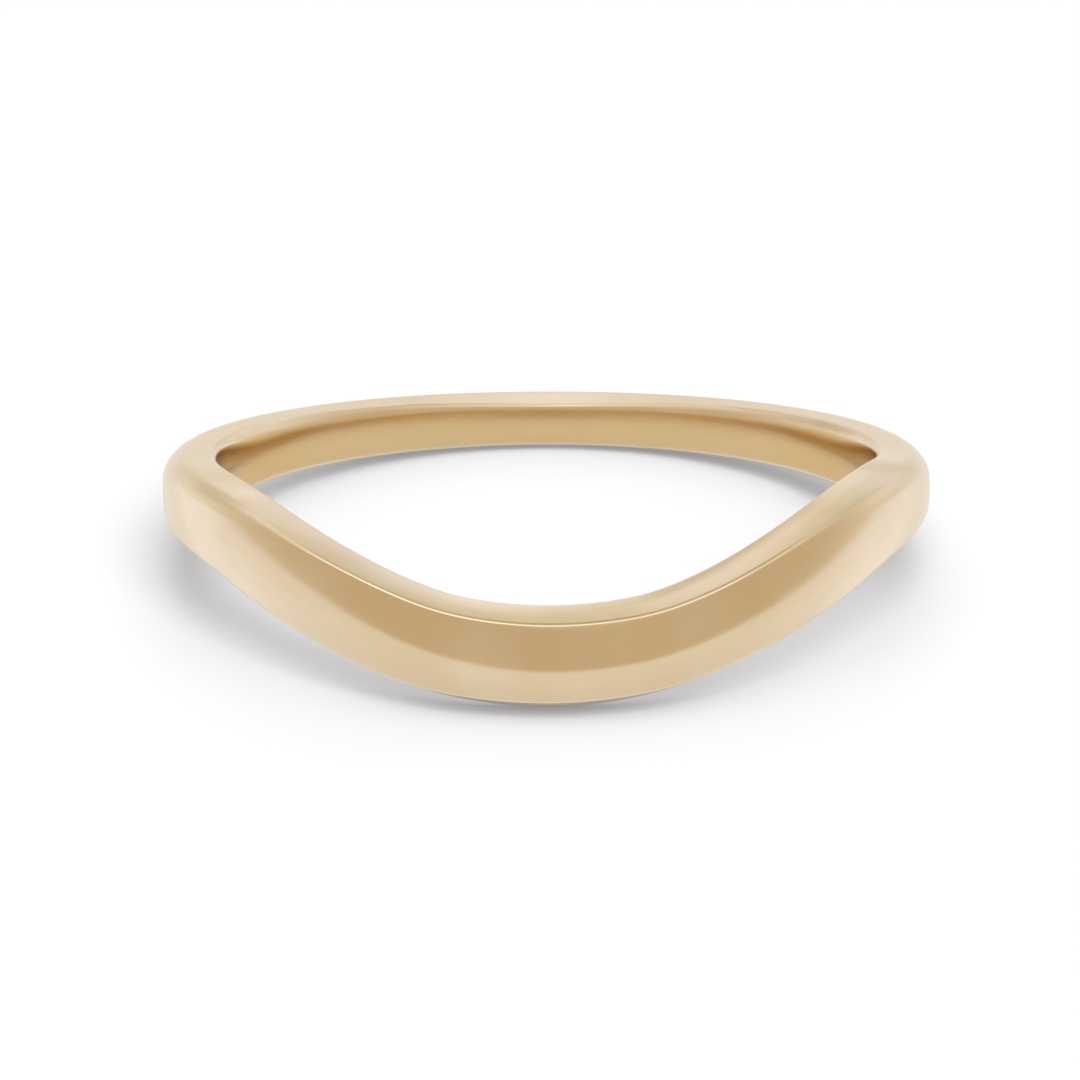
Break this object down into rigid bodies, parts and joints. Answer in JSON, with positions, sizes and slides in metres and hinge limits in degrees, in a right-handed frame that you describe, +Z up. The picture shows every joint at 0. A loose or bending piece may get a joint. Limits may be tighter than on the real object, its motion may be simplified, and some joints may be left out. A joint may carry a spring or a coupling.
{
  "type": "curved wedding band",
  "caption": "Plain polished gold finger ring with a low-domed outer face; its front dips in a soft curve so that it sits snugly around the setting of another ring.",
  "frame": {"origin": "on the table, at the middle of the box around the resting band", "axes": "+Z up from the table, +X across the band from flank to flank, -Y towards the front that dips"},
  "size_m": [0.0204, 0.0206, 0.0041],
  "materials": {
    "gold": "polished"
  },
  "bodies": {
    "root": {"band": "gold"}
  },
  "joints": []
}
